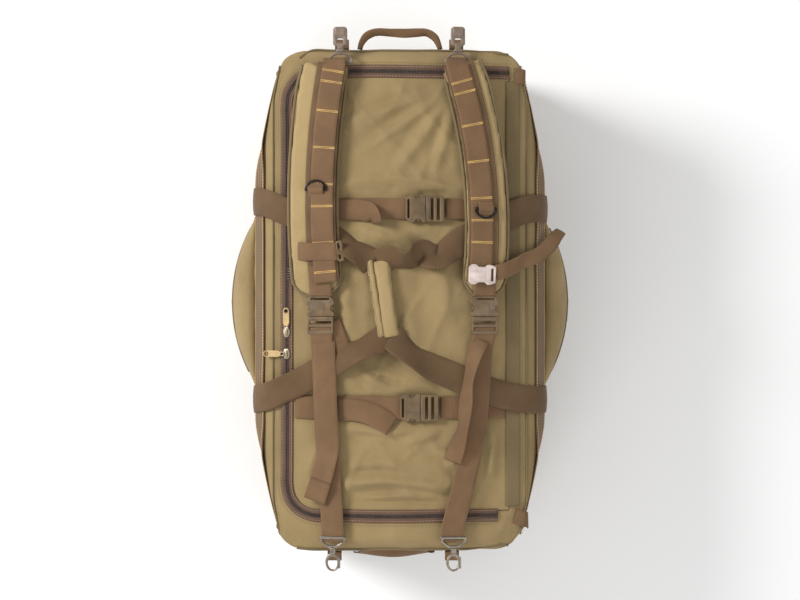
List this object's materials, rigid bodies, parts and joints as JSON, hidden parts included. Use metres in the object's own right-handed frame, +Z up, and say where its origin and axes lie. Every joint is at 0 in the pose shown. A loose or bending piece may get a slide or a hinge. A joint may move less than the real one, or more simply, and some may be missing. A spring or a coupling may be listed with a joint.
{
  "type": "rolling duffel bag",
  "caption": "Large soft rolling duffel with a zipped lid, wheel housings and skid rails under the base, side pockets, carry handles and a padded shoulder harness.",
  "frame": {"origin": "on the ground under the middle of the bag lying on its base", "axes": "+X to the wheel end, -Y to the zip side, +Z up through the lid"},
  "size_m": [0.886, 0.572, 0.3761],
  "materials": {
    "body_fabric": "matte woven nylon",
    "webbing": "ribbed nylon webbing",
    "zip_tape": "woven tape",
    "zip_metal": "worn metal",
    "pull_tab": "flat woven tab",
    "black_plastic": "moulded, satin",
    "tyre_rubber": "rubber",
    "hub_plastic": "moulded",
    "steel": "bright",
    "board": "stiff board",
    "buckle_plastic": "moulded acetal",
    "hook_plastic": "moulded acetal",
    "ring_metal": "black finish"
  },
  "bodies": {
    "root": {"body_shell": "body_fabric", "base_board": "board", "base_piping": "zip_tape", "skid_rail_left": "black_plastic", "skid_rail_right": "black_plastic", "rail_screws": "steel", "wheel_housing_left": "black_plastic", "wheel_housing_mid": "black_plastic", "wheel_housing_right": "black_plastic", "housing_rivets": "steel", "wheel_axles": "steel", "side_pocket_left": "body_fabric", "side_pocket_right": "body_fabric", "pocket_zips": "zip_tape", "edge_webbing": "webbing", "girth_webbing": "webbing", "main_zip": "zip_tape", "hinge_seam_tape": "webbing", "webbing_tabs": "webbing", "carry_handle_left": "webbing"},
    "lid": {"lid_panel": "body_fabric", "cross_strap_upper": "webbing", "cross_strap_lower": "webbing", "cross_buckle_females": "buckle_plastic", "carry_handle_right": "webbing", "handle_wrap": "body_fabric"},
    "wheel_left": {"tyre_left": "tyre_rubber", "wheel_hub_left": "hub_plastic"},
    "wheel_mid": {"tyre_mid": "tyre_rubber", "wheel_hub_mid": "hub_plastic"},
    "wheel_right": {"tyre_right": "tyre_rubber", "wheel_hub_right": "hub_plastic"},
    "zip_slider_head": {"zip_slider_head": "zip_metal"},
    "zip_pull_head": {"zip_pull_head": "pull_tab"},
    "zip_slider_wheel": {"zip_slider_wheel": "zip_metal"},
    "zip_pull_wheel": {"zip_pull_wheel": "pull_tab"},
    "head_handle": {"head_handle": "webbing"},
    "foot_handle": {"foot_handle": "webbing"},
    "shoulder_strap_left": {"shoulder_pad_left": "body_fabric", "strap_webbing_left": "webbing", "strap_buckle_female_left": "buckle_plastic", "hook_ladders_left": "hook_plastic"},
    "d_ring_left": {"d_ring_left": "ring_metal"},
    "strap_buckle_left": {"strap_buckle_male_left": "buckle_plastic"},
    "sternum_strap_left": {"sternum_strap_left": "webbing"},
    "head_hook_left": {"head_hook_left": "hook_plastic"},
    "foot_hook_left": {"foot_hook_left": "hook_plastic"},
    "pocket_slider_left": {"pocket_slider_left": "zip_metal"},
    "shoulder_strap_right": {"shoulder_pad_right": "body_fabric", "strap_webbing_right": "webbing", "strap_buckle_female_right": "buckle_plastic", "hook_ladders_right": "hook_plastic"},
    "d_ring_right": {"d_ring_right": "ring_metal"},
    "strap_buckle_right": {"strap_buckle_male_right": "buckle_plastic"},
    "sternum_strap_right": {"sternum_strap_right": "webbing"},
    "head_hook_right": {"head_hook_right": "hook_plastic"},
    "foot_hook_right": {"foot_hook_right": "hook_plastic"},
    "pocket_slider_right": {"pocket_slider_right": "zip_metal"},
    "cross_buckle_upper": {"cross_buckle_male_upper": "buckle_plastic"},
    "cross_buckle_lower": {"cross_buckle_male_lower": "buckle_plastic"}
  },
  "joints": [
    {"name": "wheel_left_spin", "type": "hinge", "parent": "root", "child": "wheel_left", "pos_m": [0.373, -0.142, 0.04], "axis": [0, 1, 0], "continuous": true},
    {"name": "wheel_mid_spin", "type": "hinge", "parent": "root", "child": "wheel_mid", "pos_m": [0.373, 0, 0.04], "axis": [0, 1, 0], "continuous": true},
    {"name": "wheel_right_spin", "type": "hinge", "parent": "root", "child": "wheel_right", "pos_m": [0.373, 0.142, 0.04], "axis": [0, 1, 0], "continuous": true},
    {"name": "lid_open", "type": "hinge", "parent": "root", "child": "lid", "pos_m": [0, 0.18, 0.328], "axis": [-1, 0, 0], "range_deg": [0, 100], "deforming": ["carry_handle_left"]},
    {"name": "zip_slider_head_slide", "type": "slide", "parent": "root", "child": "zip_slider_head", "axis": [1, 0, 0], "range_m": [-0.37, 0]},
    {"name": "zip_slider_wheel_slide", "type": "slide", "parent": "root", "child": "zip_slider_wheel", "axis": [1, 0, 0], "range_m": [0, 0.2]},
    {"name": "zip_pull_head_flip", "type": "hinge", "parent": "zip_slider_head", "child": "zip_pull_head", "pos_m": [0.0475, -0.18631, 0.33188], "axis": [0, 1, 0], "range_deg": [0, 100]},
    {"name": "zip_pull_wheel_flip", "type": "hinge", "parent": "zip_slider_wheel", "child": "zip_pull_wheel", "pos_m": [0.088, -0.19081, 0.33188], "axis": [-1, 0, 0], "range_deg": [0, 100]},
    {"name": "head_handle_swing", "type": "hinge", "parent": "root", "child": "head_handle", "pos_m": [-0.4114, 0, 0.318], "axis": [0, 1, 0], "range_deg": [-80, 70]},
    {"name": "foot_handle_swing", "type": "hinge", "parent": "root", "child": "foot_handle", "pos_m": [0.416, -0.01, 0.296], "axis": [0, -1, 0], "range_deg": [0, 150]},
    {"name": "shoulder_strap_left_lift", "type": "hinge", "parent": "lid", "child": "shoulder_strap_left", "pos_m": [-0.432, -0.09691, 0.35882], "axis": [0, -1, 0], "range_deg": [0, 80]},
    {"name": "shoulder_strap_right_lift", "type": "hinge", "parent": "lid", "child": "shoulder_strap_right", "pos_m": [-0.432, 0.09385, 0.3592], "axis": [0, -1, 0], "range_deg": [0, 80]},
    {"name": "d_ring_left_flip", "type": "hinge", "parent": "shoulder_strap_left", "child": "d_ring_left", "pos_m": [-0.17775, -0.13617, 0.36747], "axis": [0, 0.9845, 0.1753], "range_deg": [0, 170]},
    {"name": "strap_buckle_left_release", "type": "slide", "parent": "shoulder_strap_left", "child": "strap_buckle_left", "axis": [1, 0, 0], "range_m": [0, 0.025]},
    {"name": "sternum_strap_left_slide", "type": "slide", "parent": "shoulder_strap_left", "child": "sternum_strap_left", "axis": [1, 0, 0], "range_m": [-0.02, 0.02]},
    {"name": "head_hook_left_swivel", "type": "hinge", "parent": "shoulder_strap_left", "child": "head_hook_left", "pos_m": [-0.405, -0.09691, 0.35882], "axis": [1, 0, 0], "continuous": true},
    {"name": "foot_hook_left_swivel", "type": "hinge", "parent": "shoulder_strap_left", "child": "foot_hook_left", "pos_m": [0.405, -0.10915, 0.35715], "axis": [1, 0, 0], "continuous": true},
    {"name": "d_ring_right_flip", "type": "hinge", "parent": "shoulder_strap_right", "child": "d_ring_right", "pos_m": [-0.14825, 0.13929, 0.36691], "axis": [0, -0.9838, 0.1793], "range_deg": [0, 170]},
    {"name": "strap_buckle_right_release", "type": "slide", "parent": "shoulder_strap_right", "child": "strap_buckle_right", "axis": [1, 0, 0], "range_m": [0, 0.025]},
    {"name": "sternum_strap_right_slide", "type": "slide", "parent": "shoulder_strap_right", "child": "sternum_strap_right", "axis": [1, 0, 0], "range_m": [-0.02, 0.02]},
    {"name": "head_hook_right_swivel", "type": "hinge", "parent": "shoulder_strap_right", "child": "head_hook_right", "pos_m": [-0.405, 0.09385, 0.3592], "axis": [1, 0, 0], "continuous": true},
    {"name": "foot_hook_right_swivel", "type": "hinge", "parent": "shoulder_strap_right", "child": "foot_hook_right", "pos_m": [0.405, 0.08671, 0.36005], "axis": [1, 0, 0], "continuous": true},
    {"name": "cross_buckle_upper_release", "type": "slide", "parent": "lid", "child": "cross_buckle_upper", "axis": [0, 0.9985, -0.0549], "range_m": [0, 0.025]},
    {"name": "cross_buckle_lower_release", "type": "slide", "parent": "lid", "child": "cross_buckle_lower", "axis": [0, 0.9991, -0.0428], "range_m": [0, 0.025]},
    {"name": "pocket_slider_left_slide", "type": "hinge", "parent": "root", "child": "pocket_slider_left", "pos_m": [0.0025, -0.01525, 0.205], "axis": [0, 0, 1], "range_deg": [-21, 21]},
    {"name": "pocket_slider_right_slide", "type": "hinge", "parent": "root", "child": "pocket_slider_right", "pos_m": [0.0025, 0.01525, 0.205], "axis": [0, 0, 1], "range_deg": [-21, 21]}
  ]
}
